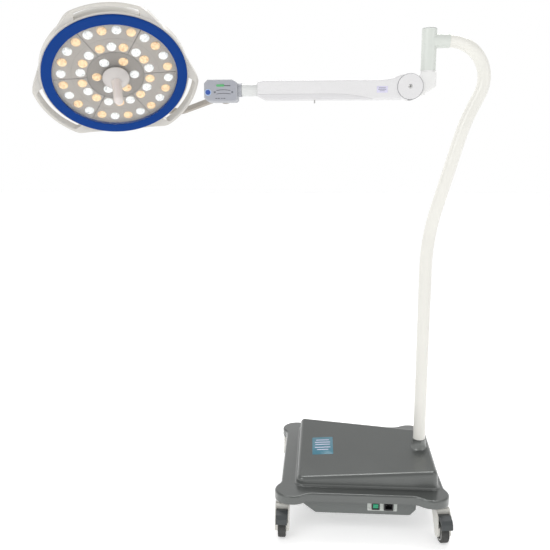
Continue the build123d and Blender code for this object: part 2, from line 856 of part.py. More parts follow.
with BuildPart() as arm_shell:
    add(arm_blank.part)
    add(arm_hollow, mode=Mode.SUBTRACT)
    with BuildSketch(Plane.YZ.offset(seat_x)):
        with Locations((pole_y, spring_z)):
            Rectangle(arm_w - 2 * arm_wall, seat_h)
            Circle(rod_r + 0.5, mode=Mode.SUBTRACT)
    extrude(amount=6)
    add(over_seam, mode=Mode.SUBTRACT)
    with Locations((arm_pivot_x + disc_r - 5, pole_y, arm_pivot_z)):
        Box(2 * disc_r, arm_w - 2 * arm_wall, 3 * disc_r, mode=Mode.SUBTRACT)
    with BuildSketch(upright(arm_back)):
        with Locations((arm_pivot_x, arm_pivot_z)):
            Circle(arm_pin_r + 8)
    extrude(amount=(arm_w - tongue_w) / 2 - face_gap)
    with BuildSketch(upright(arm_front)):
        with Locations((arm_pivot_x, arm_pivot_z)):
            Circle(arm_pin_r + 8)
    extrude(amount=face_gap - (arm_w - tongue_w) / 2)
    with BuildSketch(upright(arm_back)):
        with Locations((arm_pivot_x, arm_pivot_z)):
            Circle(arm_pin_r)
    extrude(amount=arm_w, mode=Mode.SUBTRACT)
    with BuildSketch(Plane.YZ.offset(arm_left - 60)):
        with Locations((pole_y, tube_z)):
            Circle(tube_r + slip)
    extrude(amount=80, mode=Mode.SUBTRACT)
save(arm_shell, "arm_shell")

with BuildPart() as arm_lower_cover:
    add(arm_blank.part)
    add(arm_hollow, mode=Mode.SUBTRACT)
    add(under_seam, mode=Mode.INTERSECT)
    with BuildSketch(Plane.YZ.offset(arm_left - 60)):
        with Locations((pole_y, tube_z)):
            Circle(tube_r + slip)
    extrude(amount=80, mode=Mode.SUBTRACT)
    with BuildSketch(Plane.XY.offset(arm_bottom - 1)):
        with Locations((adjuster_x, pole_y)):
            Circle(adjuster_r + slip)
    extrude(amount=arm_wall + 2, mode=Mode.SUBTRACT)
save(arm_lower_cover, "arm_lower_cover")

with BuildPart() as pivot_pin:
    with BuildSketch(upright(arm_back)):
        with Locations((arm_pivot_x, arm_pivot_z)):
            Circle(arm_pin_r)
    extrude(amount=arm_w)
save(pivot_pin, "pivot_pin")

with BuildPart() as pivot_caps:
    for side in (-1, 1):
        with BuildSketch(upright(pole_y + side * arm_w / 2)):
            with Locations((arm_pivot_x, arm_pivot_z)):
                Circle(disc_r)
        extrude(amount=-side * disc_t)
    rims = pivot_caps.edges().filter_by(
        lambda e: abs(abs(e.center().Y - pole_y) - arm_w / 2 - disc_t) < 0.01
    )
    fillet(rims, 1.5)
    for side in (-1, 1):
        with BuildSketch(upright(pole_y + side * (arm_w / 2 + disc_t))):
            with Locations((arm_pivot_x, arm_pivot_z)):
                RegularPolygon(2.6, 6)
        extrude(amount=side * 2.5, mode=Mode.SUBTRACT)
save(pivot_caps, "pivot_caps")

with BuildPart() as spring_rod:
    with BuildSketch(Plane.YZ.offset(rod_end_x)):
        with Locations((pole_y, spring_z)):
            Circle(rod_r)
    extrude(amount=-rod_len)
    with BuildSketch(Plane.YZ.offset(rod_end_x - rod_len)):
        with Locations((pole_y, spring_z)):
            Circle(spring_r + 2)
    extrude(amount=-6)
save(spring_rod, "spring_rod")

with BuildPart() as arm_spring:
    with BuildSketch(Plane.YZ.offset(rod_end_x - rod_len)):
        with Locations((pole_y, spring_z)):
            Circle(spring_r)
            Circle(spring_r - 3.5, mode=Mode.SUBTRACT)
    extrude(amount=spring_len)
save(arm_spring, "arm_spring")

with BuildPart() as adjusting_screw:
    with BuildSketch(Plane.XY.offset(arm_bottom - adjuster_drop)):
        with Locations((adjuster_x, pole_y)):
            Circle(adjuster_r)
    extrude(amount=adjuster_drop + 12)
    with BuildSketch(Plane.XY.offset(arm_bottom + arm_wall)):
        with Locations((adjuster_x, pole_y)):
            RegularPolygon(adjuster_r * 2, 6)
    extrude(amount=6)
save(adjusting_screw, "adjusting_screw")

with BuildPart() as front_tube:
    with BuildSketch(Plane.YZ.offset(tube_end + face_gap)):
        with Locations((pole_y, tube_z)):
            Circle(tube_r)
            Circle(tube_r - tube_wall, mode=Mode.SUBTRACT)
    extrude(amount=tube_in_arm + arm_left - tube_end)
    chamfer(front_tube.edges().group_by(Axis.X)[0].sort_by(SortBy.RADIUS)[-1], 0.8)
save(front_tube, "front_tube")

# ======================= control box =======================

box_front = pole_y - box_depth / 2
box_back = pole_y + box_depth / 2


def box_outline(y, inset):
    """The control box seen from the front, with chamfered corners on its free end."""
    with BuildSketch(upright(y)) as outline:
        with BuildLine():
            Polyline(
                (box_left + inset, box_bottom + box_corner + 0.4 * inset),
                (box_left + inset, box_top - box_corner - 0.4 * inset),
                (box_left + box_corner + 0.4 * inset, box_top - inset),
                (box_right - 18, box_top - inset),
                (box_right - inset, box_top - 10 - 0.4 * inset),
                (box_right - inset, box_bottom + 6 + 0.4 * inset),
                (box_right - 8, box_bottom + inset),
                (box_left + box_corner + 0.4 * inset, box_bottom + inset),
                close=True,
            )
        make_face()
    return outline.sketch


with BuildPart() as control_box:
    add(extrude(box_outline(box_back, 0), amount=box_depth, mode=Mode.PRIVATE))
    fillet(control_box.edges().filter_by(Axis.Y), 4)
    chamfer(control_box.edges().group_by(Axis.Y)[0], 2)
    chamfer(control_box.edges().group_by(Axis.Y)[-1], 2)
    pocket_y = box_back - box_wall
    add(
        extrude(box_outline(pocket_y, panel_inset), amount=box_depth, mode=Mode.PRIVATE),
        mode=Mode.SUBTRACT,
    )
    with BuildSketch(Plane.YZ.offset(box_right - box_wall - 2)):
        with Locations((pole_y, tube_z)):
            Circle(neck_r)
    extrude(amount=tube_end - box_right + box_wall + 2)
    with BuildSketch(Plane.YZ.offset(tube_end)):
        with Locations((pole_y, tube_z)):
            Circle(tube_r - tube_wall - run_fit)
    extrude(amount=spigot_len)
    with BuildSketch(upright(box_back)):
        with Locations(yoke_root):
            Circle(root_pin_r + 8)
    extrude(amount=root_pin_len)
    with BuildSketch(upright(box_back)):
        with Locations(yoke_root):
            Circle(root_pin_r + run_fit)
    extrude(amount=root_pin_len, mode=Mode.SUBTRACT)
save(control_box, "control_box")

with BuildPart() as control_panel:
    add(
        extrude(
            box_outline(box_front + panel_t, panel_inset + slip),
            amount=panel_t,
            mode=Mode.PRIVATE,
        )
    )
    with BuildSketch(upright(box_front)):
        with Locations((button_x, button_z)):
            Circle(button_r + face_gap)
    extrude(amount=-panel_t, mode=Mode.SUBTRACT)
    with BuildSketch(upright(box_front)):
        with Locations(((box_left + box_right) / 2 + 6, 0.5 * (box_top + box_bottom) + 20)):
            SlotOverall(58, 7)
    extrude(amount=-0.6, mode=Mode.SUBTRACT)
save(control_panel, "control_panel")

with BuildPart() as power_button:
    with BuildSketch(upright(box_front - button_proud)):
        with Locations((button_x, button_z)):
            Circle(button_r)
    extrude(amount=-(button_proud + panel_t + 1))
    fillet(power_button.edges().group_by(Axis.Y)[0], 0.7)
    with BuildSketch(upright(box_front + panel_t + 1)):
        with Locations((button_x, button_z)):
            Circle(button_stem_r)
    extrude(amount=-6)
save(power_button, "power_button")

# ======================= yoke =======================

root_y = box_back + face_gap + root_t / 2
root_point = Vector(yoke_root[0], root_y, yoke_root[1])
bend_point = Vector(*yoke_bend)
hub_point = head_plane.from_local_coords(Vector(*hub_at))
yoke_along = (bend_point - root_point).normalized()
yoke_normal = yoke_along.cross(hub_point - bend_point).normalized()
yoke_plane = Plane(origin=root_point, x_dir=yoke_along, z_dir=yoke_normal)
tilt_dir = Vector(0, 0, 1).cross(face).normalized()

with BuildPart() as yoke:
    with BuildLine(yoke_plane):
        bend_flat = yoke_plane.to_local_coords(bend_point)
        hub_flat = yoke_plane.to_local_coords(hub_point)
        Line((0, 0), (bend_flat.X, bend_flat.Y))
        TangentArc((bend_flat.X, bend_flat.Y), (hub_flat.X, hub_flat.Y), tangent=yoke_along)
    with BuildSketch(Plane(origin=root_point, x_dir=yoke_normal, z_dir=yoke_along)):
        RectangleRounded(yoke_h, yoke_t, 5)
    sweep()
    for side in (-1, 1):
        beside = hub_point + tilt_dir * side * barrel_len / 2
        add(post(barrel_r + 4, beside, tilt_dir * side, cheek_t + 8), mode=Mode.SUBTRACT)
    add(post(root_r, root_point - Vector(0, root_t / 2, 0), (0, 1, 0), root_t))
    barrel_start = hub_point - tilt_dir * (barrel_len / 2)
    add(post(barrel_r, barrel_start, tilt_dir, barrel_len))
    add(
        post(tilt_pin_r + run_fit, barrel_start - tilt_dir * 5, tilt_dir, barrel_len + 10),
        mode=Mode.SUBTRACT,
    )
    add(post(root_pin_r, root_point - Vector(0, root_t / 2, 0), (0, -1, 0), root_pin_len - 1))
save(yoke, "yoke")

# ======================= light head =======================

carrier_back = carrier_front - carrier_t

hub_plane = Plane(
    origin=head_plane.from_local_coords(Vector(hub_at[0], hub_at[1], 0)),
    x_dir=tilt_dir,
    z_dir=face,
)


def ring_part(*corners):
    """A ring about the head's axis, from its section given as (radius, height) corners."""
    with BuildPart(mode=Mode.PRIVATE) as ring:
        with BuildSketch(head_profile):
            with BuildLine():
                Polyline(*corners, close=True)
            make_face()
        revolve(axis=head_axis)
    return ring.part


def disc_part(radius, low, high, hole=0):
    """A flat disc on the head's axis, between two heights over the face."""
    with BuildPart(mode=Mode.PRIVATE) as disc:
        with BuildSketch(head_plane.offset(low)):
            Circle(radius)
            if hole:
                Circle(hole, mode=Mode.SUBTRACT)
        extrude(amount=high - low)
    return disc.part


with BuildPart() as head_housing:
    add(
        ring_part(
            (0, back_z),
            (back_flat_r, back_z),
            (rim_r - 24, rim_back - 22),
            (rim_r - 5, rim_back - 6),
            (rim_r, rim_back + 8),
            (rim_r, rim_front - 2),
            (rim_r - 2, rim_front),
            (bezel_r + slip, rim_front),
            (bezel_r + slip, carrier_back),
            (ledge_r, carrier_back),
            (ledge_r, carrier_back - 4),
            (rim_r - shell_wall - 1, carrier_back - 8),
            (rim_r - 5 - shell_wall, rim_back - 4),
            (rim_r - 24 - shell_wall, rim_back - 22 + shell_wall),
            (back_flat_r, back_z + shell_wall),
            (0, back_z + shell_wall),
        )
    )
save(head_housing, "head_housing")

with BuildPart() as hub_bracket:
    with BuildSketch(hub_plane.offset(back_z - hub_foot_t)):
        RectangleRounded(barrel_len + 2 * cheek_t + 30, 78, 8)
    extrude(amount=hub_foot_t)
    for side in (-1, 1):
        near = barrel_len / 2 + face_gap
        cheek = Plane(
            origin=hub_point + tilt_dir * side * near, x_dir=hub_plane.y_dir, z_dir=tilt_dir * side
        )
        foot_height = back_z - hub_foot_t - hub_at[2]
        up = 1 if cheek.to_local_coords(hub_point + face).Y > 0 else -1
        with BuildSketch(cheek):
            Circle(barrel_r + 3)
            with Locations((0, up * foot_height / 2)):
                Rectangle(2 * barrel_r + 6, foot_height)
        extrude(amount=cheek_t)
    add(
        post(
            tilt_pin_r + slip,
            hub_point - tilt_dir * barrel_len,
            tilt_dir,
            2 * barrel_len,
        ),
        mode=Mode.SUBTRACT,
    )
save(hub_bracket, "hub_bracket")

pin_half = barrel_len / 2 + face_gap + cheek_t

with BuildPart() as tilt_pin:
    add(post(tilt_pin_r, hub_point - tilt_dir * pin_half, tilt_dir, 2 * pin_half))
    for side in (-1, 1):
        add(
            post(
                tilt_pin_r + 4,
                hub_point + tilt_dir * side * pin_half,
                tilt_dir * side,
                3,
            )
        )
save(tilt_pin, "tilt_pin")


def around(radius, angle):
    """A point of the head's plane, from its radius and its angle in degrees."""
    return (radius * cos(radians(angle)), radius * sin(radians(angle)))


def loop_handle(angle):
    """One grip: a slanted bar round the rim, with a broad foot at each end."""
    with BuildPart(mode=Mode.PRIVATE) as grip:
        add(
            ring_part(
                (rim_r, loop_root_front),
                (loop_r - 13, loop_front - 1),
                (loop_r - 9, loop_front),
                (loop_r - 4, loop_front),
                (loop_r - 1, loop_front - 1.5),
                (loop_r, loop_front - 4.5),
                (loop_r - 1.5, loop_front - 9),
                (loop_gap_r + 9, loop_back + 3),
                (loop_gap_r + 6, loop_back),
                (rim_r, loop_back),
            )
        )
        with BuildSketch(head_plane.offset(loop_back - 5)):
            with BuildLine():
                first = around(loop_r, angle - loop_half)
                last = around(loop_r, angle + loop_half)
                tip = ThreePointArc(first, around(loop_r, angle), last)
                foot = around(rim_r - 3, angle + loop_foot_half)
                start = around(rim_r - 3, angle - loop_foot_half)
                Line(last, foot)
                ThreePointArc(foot, around(rim_r - 3, angle), start)
                Line(start, first)
            outline = make_face()
            fillet(outline.vertices().group_by(Axis((0, 0, 0), around(1, angle) + (0,)))[-1], loop_corner)
        extrude(amount=loop_front - loop_back + 10, mode=Mode.INTERSECT)
        gap_part = gap_solid(angle)
        add(gap_part, mode=Mode.SUBTRACT)
    return grip.part


def gap_solid(angle):
    """The finger gap of a grip, bounded by the slanted inner side of its bar."""
    with BuildPart(mode=Mode.PRIVATE) as gap:
        with BuildSketch(head_plane.offset(loop_back - 6)):
            with BuildLine():
                low = angle - loop_gap_half
                high = angle + loop_gap_half
                inner_start = around(rim_r - 8, low)
                inner_end = around(rim_r - 8, high)
                outer_start = around(loop_r - 4, low + loop_end_turn)
                outer_end = around(loop_r - 4, high - loop_end_turn)
                ThreePointArc(inner_start, around(loop_gap_r, low + loop_end_turn / 4), outer_start)
                ThreePointArc(outer_start, around(loop_r - 4, angle), outer_end)
                ThreePointArc(outer_end, around(loop_gap_r, high - loop_end_turn / 4), inner_end)
                ThreePointArc(inner_end, around(rim_r - 8, angle), inner_start)
            make_face()
        extrude(amount=loop_front - loop_back + 10)
        add(
            ring_part(
                (rim_r - 20, loop_front + 8),
                (loop_r - 9, loop_front + 8),
                (loop_r - 9.5, loop_front),
                (loop_r - 12, loop_front - 2.5),
                (loop_gap_r, loop_back + 2),
                (loop_gap_r + 2, loop_back - 8),
                (rim_r - 20, loop_back - 8),
            ),
            mode=Mode.INTERSECT,
        )
    return gap.part


with BuildPart() as grip_handles:
    first_loop = loop_handle(loop_at)
    for k in range(3):
        add(first_loop.rotate(head_axis, 120 * k))
save(grip_handles, "grip_handles")

# The lamps: an outer ring of 24, a middle ring of 18 and an inner ring of 6.
outer_lamps = [(outer_ring_r, 15 * k, k % 2 == 0) for k in range(24)]
middle_lamps = [
    (middle_ring_r, sector_start - 30 + 60 * sector + 19 * step, (sector * 3 + step) % 2 == 0)
    for sector in range(6)
    for step in (-1, 0, 1)
]
inner_lamps = [(inner_ring_r, sector_start + 60 * k, k % 2 == 0) for k in range(6)]
lamps = outer_lamps + middle_lamps + inner_lamps

with BuildPart() as light_carrier:
    add(disc_part(bezel_r, carrier_back, carrier_front, spigot_r + slip))
    with BuildSketch(head_plane.offset(carrier_front)):
        with Locations(*[around(r, a) for r, a, warm in lamps]):
            Circle(lens_r + slip)
    extrude(amount=-carrier_t, mode=Mode.SUBTRACT)
    with BuildSketch(head_plane.offset(carrier_front)):
        for radius in groove_r:
            Circle(radius + groove_w / 2)
            Circle(radius - groove_w / 2, mode=Mode.SUBTRACT)
        for k in range(6):
            ray = sector_start + 60 * k
            middle = around((groove_r[-1] + carrier_r) / 2, ray)
            with Locations(Location((middle[0], middle[1], 0), (0, 0, ray))):
                Rectangle(carrier_r - groove_r[-1], groove_w)
    extrude(amount=-groove_w, mode=Mode.SUBTRACT)
save(light_carrier, "light_carrier")


def lenses(is_warm):
    """The domed lenses of one colour."""
    with BuildPart(mode=Mode.PRIVATE) as domes:
        with BuildSketch(head_plane.offset(carrier_back)):
            with Locations(*[around(r, a) for r, a, warm in lamps if warm == is_warm]):
                Circle(lens_r)
        extrude(amount=carrier_t + 1)
        with BuildSketch(head_plane.offset(carrier_front + 1)):
            with Locations(*[around(r, a) for r, a, warm in lamps if warm == is_warm]):
                Circle(lens_r)
        extrude(amount=lens_h - 1, taper=35)
    return domes.part


with BuildPart() as lenses_warm:
    add(lenses(True))
save(lenses_warm, "lenses_warm")

with BuildPart() as lenses_white:
    add(lenses(False))
save(lenses_white, "lenses_white")

with BuildPart() as led_boards:
    add(disc_part(carrier_r - 4, carrier_back - board_t, carrier_back, spigot_r + slip))
save(led_boards, "led_boards")

with BuildPart() as front_glass:
    add(disc_part(glass_r, glass_front - glass_t, glass_front, spigot_r + slip))
save(front_glass, "front_glass")

with BuildPart() as bezel:
    add(
        ring_part(
            (bezel_r, -2.5),
            (bezel_r - 2.5, 0),
            (bezel_r - 8, 0),
            (glass_r - 2, glass_front + 2.5),
            (glass_r - 2, glass_front),
            (glass_r + slip, glass_front),
            (glass_r + slip, carrier_front),
            (bezel_r, carrier_front),
        )
    )
save(bezel, "bezel")

with BuildPart() as handle_flange:
    with BuildSketch(head_profile):
        with BuildLine():
            rim_edge = (flange_dome_r, glass_front + 4)
            shoulder = (grip_r + 1.5, glass_front + flange_dome_h)
            Polyline(
                shoulder,
                (0, glass_front + flange_dome_h),
                (0, carrier_back - board_t - 10),
                (spigot_r, carrier_back - board_t - 10),
                (spigot_r, glass_front),
                (flange_dome_r, glass_front),
                rim_edge,
            )
            ThreePointArc(rim_edge, (flange_dome_r - 10, glass_front + 14), shoulder)
        make_face()
    revolve(axis=head_axis)
    add(disc_part(core_r + run_fit, glass_front + 4, glass_front + 60), mode=Mode.SUBTRACT)
save(handle_flange, "handle_flange")

with BuildPart() as sterile_handle:
    with BuildSketch(head_profile):
        with BuildLine():
            foot_z = glass_front + flange_dome_h + face_gap
            Polyline(
                (0, grip_tip),
                (0, glass_front + 5),
                (core_r, glass_front + 5),
                (core_r, foot_z),
                (grip_r + 1, foot_z),
                (grip_r - 0.5, foot_z + 16),
                (grip_r - 1.5, grip_tip - grip_r + 1.5),
            )
            ThreePointArc(
                (grip_r - 1.5, grip_tip - grip_r + 1.5),
                ((grip_r - 1.5) * cos(radians(45)), grip_tip - (grip_r - 1.5) * (1 - sin(radians(45)))),
                (0, grip_tip),
            )
        make_face()
    revolve(axis=head_axis)
save(sterile_handle, "sterile_handle")
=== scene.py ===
import json
import math

import bmesh
import bpy
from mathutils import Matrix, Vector


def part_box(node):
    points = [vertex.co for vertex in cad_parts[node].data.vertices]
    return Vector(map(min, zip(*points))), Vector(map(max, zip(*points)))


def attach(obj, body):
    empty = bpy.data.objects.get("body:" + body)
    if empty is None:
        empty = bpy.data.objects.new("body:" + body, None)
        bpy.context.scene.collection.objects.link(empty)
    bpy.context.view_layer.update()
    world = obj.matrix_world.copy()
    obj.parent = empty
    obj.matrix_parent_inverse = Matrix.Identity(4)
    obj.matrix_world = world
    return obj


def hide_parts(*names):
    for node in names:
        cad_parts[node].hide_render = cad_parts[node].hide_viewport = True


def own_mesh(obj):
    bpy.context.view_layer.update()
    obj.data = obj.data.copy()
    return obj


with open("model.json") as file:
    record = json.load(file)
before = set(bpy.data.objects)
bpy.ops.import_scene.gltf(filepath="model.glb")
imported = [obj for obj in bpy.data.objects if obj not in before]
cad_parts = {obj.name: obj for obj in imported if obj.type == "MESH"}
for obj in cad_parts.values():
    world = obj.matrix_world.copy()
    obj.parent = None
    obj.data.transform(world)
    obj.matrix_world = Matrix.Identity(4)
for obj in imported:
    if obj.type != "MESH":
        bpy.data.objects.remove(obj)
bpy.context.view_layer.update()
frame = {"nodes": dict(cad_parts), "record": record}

# Mobile surgical light.  Metres, +Z up, in the row frame.
FACE_LOW = -0.017  # the lamp's face, against the rim's front
INNER_RING_R = 0.098  # the face's two drawn rings
OUTER_RING_R = 0.152
SEAM_START = 52.5  # degrees, the first of the face's seams
SEAM_COUNT = 6
SEAM_RADII = (0.099, 0.150, 0.2135)  # a seam's points, from the inner ring outwards
LENS_SEAT = 0.0055  # a dome's foot, over the back of its CAD lens

nodes = frame["nodes"]
record = frame["record"]
joints = {j["name"]: j for j in record["behaviour"]["joints"]}


# ---------------------------------------------------------------- materials

class Mat:
    """A procedural material on one Principled shader, with object coordinates in metres."""

    def __init__(self, name, **sockets):
        self.mat = bpy.data.materials.new(name)
        self.mat.use_nodes = True
        self.tree = self.mat.node_tree
        self.shader = self.tree.nodes["Principled BSDF"]
        self.coords = self.node("ShaderNodeTexCoord").outputs["Object"]
        for key, value in sockets.items():
            self.shader.inputs[key.replace("_", " ")].default_value = value

    def node(self, kind, **settings):
        n = self.tree.nodes.new(kind)
        for key, value in settings.items():
            setattr(n, key, value)
        return n

    def link(self, a, b):
        self.tree.links.new(a, b)

    def noise(self, scale, detail=3.0, roughness=0.5, coords=None):
        n = self.node("ShaderNodeTexNoise")
        n.inputs["Scale"].default_value = scale
        n.inputs["Detail"].default_value = detail
        n.inputs["Roughness"].default_value = roughness
        self.link(coords or self.coords, n.inputs["Vector"])
        return n.outputs["Fac"]

    def ramp(self, fac, *stops):
        n = self.node("ShaderNodeValToRGB")
        ramp = n.color_ramp
        while len(ramp.elements) < len(stops):
            ramp.elements.new(0.5)
        for element, (at, colour) in zip(ramp.elements, stops):
            element.position = at
            element.color = (*colour, 1.0)
        self.link(fac, n.inputs["Fac"])
        return n.outputs["Color"]

    def mix(self, fac, a, b, kind="MIX"):
        n = self.node("ShaderNodeMix", data_type="RGBA", blend_type=kind)
        for socket, value in ((n.inputs[0], fac), (n.inputs[6], a), (n.inputs[7], b)):
            if isinstance(value, bpy.types.NodeSocket):
                self.link(value, socket)
            elif isinstance(value, tuple):
                socket.default_value = (*value, 1.0)
            else:
                socket.default_value = value
        return n.outputs[2]

    def math(self, operation, a, b=0.0):
        n = self.node("ShaderNodeMath", operation=operation)
        for socket, value in ((n.inputs[0], a), (n.inputs[1], b)):
            if isinstance(value, bpy.types.NodeSocket):
                self.link(value, socket)
            else:
                socket.default_value = value
        return n.outputs[0]

    def spread(self, fac, low, high):
        n = self.node("ShaderNodeMapRange")
        n.inputs["To Min"].default_value = low
        n.inputs["To Max"].default_value = high
        self.link(fac, n.inputs["Value"])
        return n.outputs["Result"]

    def bump(self, height, strength, distance=0.0003):
        n = self.node("ShaderNodeBump")
        n.inputs["Strength"].default_value = strength
        n.inputs["Distance"].default_value = distance
        self.link(height, n.inputs["Height"])
        self.link(n.outputs["Normal"], self.shader.inputs["Normal"])

    def base(self, colour):
        self.link(colour, self.shader.inputs["Base Color"])

    def rough(self, fac, low, high):
        self.link(self.spread(fac, low, high), self.shader.inputs["Roughness"])


def shade(colour, k):
    return tuple(min(1.0, c * k) for c in colour)


def moulded(name, colour, rough=(0.35, 0.5), grain=900.0, bump=0.12, vary=0.05, coat=0.0, **sockets):
    """Moulded plastic: faint blotches, a fine spark-eroded grain, and wear that dulls it."""
    m = Mat(name, Coat_Weight=coat, **sockets)
    blotch = m.noise(9.0, 4.0)
    fine = m.noise(grain, 2.0)
    colour_out = m.ramp(blotch, (0.3, shade(colour, 1 - vary)), (0.7, shade(colour, 1 + vary)))
    specks = m.ramp(fine, (0.25, (0.93, 0.93, 0.93)), (0.6, (1.0, 1.0, 1.0)))
    m.base(m.mix(1.0, colour_out, specks, "MULTIPLY"))
    m.rough(m.noise(40.0, 5.0), *rough)
    m.bump(fine, bump)
    return m.mat


def enamel(name, colour, rough=(0.24, 0.38), peel=260.0, bump=0.10, vary=0.03, coat=0.35, **sockets):
    """Powder coat: an orange-peel skin with slow changes of tone."""
    m = Mat(name, Coat_Weight=coat, Coat_Roughness=0.18, **sockets)
    slow = m.noise(5.0, 3.0)
    peel_out = m.noise(peel, 1.5)
    m.base(m.ramp(slow, (0.3, shade(colour, 1 - vary)), (0.7, shade(colour, 1 + vary))))
    m.rough(m.noise(30.0, 4.0), *rough)
    m.bump(peel_out, bump, 0.0004)
    return m.mat


def pearl(name, colour, **sockets):
    """Pearl lacquer: fine metal flakes under a soft clear coat."""
    m = Mat(name, Metallic=0.55, Coat_Weight=0.6, Coat_Roughness=0.16, **sockets)
    flakes = m.noise(2600.0, 1.0)
    slow = m.noise(3.5, 3.0)
    body = m.ramp(slow, (0.3, shade(colour, 0.95)), (0.7, shade(colour, 1.05)))
    glint = m.ramp(flakes, (0.42, (0.88, 0.88, 0.88)), (0.66, (1.16, 1.16, 1.15)))
    m.base(m.mix(1.0, body, glint, "MULTIPLY"))
    m.rough(m.noise(22.0, 5.0), 0.30, 0.38)
    m.bump(m.noise(420.0, 2.0), 0.04, 0.0003)
    return m.mat


def metal(name, colour, rough=(0.25, 0.42), **sockets):
    """Turned or brushed steel, with fine lines and stains."""
    m = Mat(name, Metallic=1.0, **sockets)
    stretch = m.node("ShaderNodeMapping")
    stretch.inputs["Scale"].default_value = (1.0, 1.0, 14.0)
    m.link(m.coords, stretch.inputs["Vector"])
    lines = m.noise(220.0, 3.0, coords=stretch.outputs["Vector"])
    stain = m.noise(24.0, 4.0)
    m.base(m.ramp(stain, (0.3, shade(colour, 0.86)), (0.7, colour)))
    m.rough(lines, *rough)
    m.bump(lines, 0.08, 0.0002)
    return m.mat


def rubber(name, colour):
    """Tyre rubber: matt, with scuffs and a little floor dust."""
    m = Mat(name, Specular_IOR_Level=0.3)
    scuff = m.noise(160.0, 6.0, 0.7)
    dust = m.noise(35.0, 4.0)
    worn = m.ramp(scuff, (0.45, colour), (0.7, shade(colour, 1.7)))
    m.base(m.mix(m.spread(dust, 0.0, 0.25), worn, (0.30, 0.29, 0.27)))
    m.rough(scuff, 0.6, 0.85)
    m.bump(scuff, 0.25, 0.0003)
    return m.mat


def glowing(name, colour, strength, rim):
    """A lit lens: faceted optics, so that its light is broken into small bright cells."""
    m = Mat(name, Roughness=0.12, Emission_Strength=strength, Coat_Weight=0.6, Coat_Roughness=0.05)
    cells = m.node("ShaderNodeTexVoronoi", feature="F1")
    cells.inputs["Scale"].default_value = 170.0
    m.link(m.coords, cells.inputs["Vector"])
    facet = cells.outputs["Distance"]
    slow = m.noise(120.0, 1.0)
    both = m.math("ADD", m.math("MULTIPLY", facet, 0.5), m.math("MULTIPLY", slow, 0.6))
    lit = m.ramp(both, (0.30, colour), (0.62, shade(colour, 0.72)), (0.85, rim))
    m.base(lit)
    m.link(lit, m.shader.inputs["Emission Color"])
    m.rough(slow, 0.06, 0.18)
    m.bump(facet, 0.14, 0.0006)
    return m.mat


def face_paint(name, inner, outer, centre, edge):
    """The lamp face: an inner disc of another tone inside a given radius, finely grained."""
    m = Mat(name)
    away = m.node("ShaderNodeVectorMath", operation="DISTANCE")
    m.link(m.coords, away.inputs[0])
    away.inputs[1].default_value = centre
    outside = m.math("GREATER_THAN", away.outputs["Value"], edge)
    tone = m.mix(outside, inner, outer)
    fine = m.noise(1300.0, 2.0)
    slow = m.ramp(m.noise(8.0, 3.0), (0.3, (0.93, 0.93, 0.93)), (0.7, (1.0, 1.0, 1.0)))
    m.base(m.mix(1.0, tone, slow, "MULTIPLY"))
    m.rough(m.noise(40.0, 4.0), 0.28, 0.42)
    m.bump(fine, 0.06)
    return m.mat


def clear(name, colour, alpha):
    """The clear cover: nearly invisible, with wiping marks in its gloss."""
    m = Mat(name, Alpha=alpha, IOR=1.5)
    wipe = m.noise(12.0, 5.0, 0.6)
    m.base(m.ramp(wipe, (0.3, shade(colour, 0.97)), (0.7, colour)))
    m.rough(wipe, 0.03, 0.12)
    return m.mat


turn = joints["handle_turn"]
FACE = Vector(turn["axis"]).normalized()
HEAD_X = (Vector((1, 0, 0)) - FACE * FACE.x).normalized()
HEAD_Y = FACE.cross(HEAD_X)


def head_centre():
    """The point of the lamp's axis that lies level with the rim's front."""
    anchor = Vector(turn["pos_m"])
    heights = [(v.co - anchor).dot(FACE) for v in nodes["bezel"].data.vertices]
    return anchor + FACE * max(heights)


HEAD = head_centre()


def face_at(height, radius=0.0, angle=0.0):
    """A point over the lamp's face, from its height, radius and angle in degrees."""
    t = math.radians(angle)
    return HEAD + FACE * height + (HEAD_X * math.cos(t) + HEAD_Y * math.sin(t)) * radius


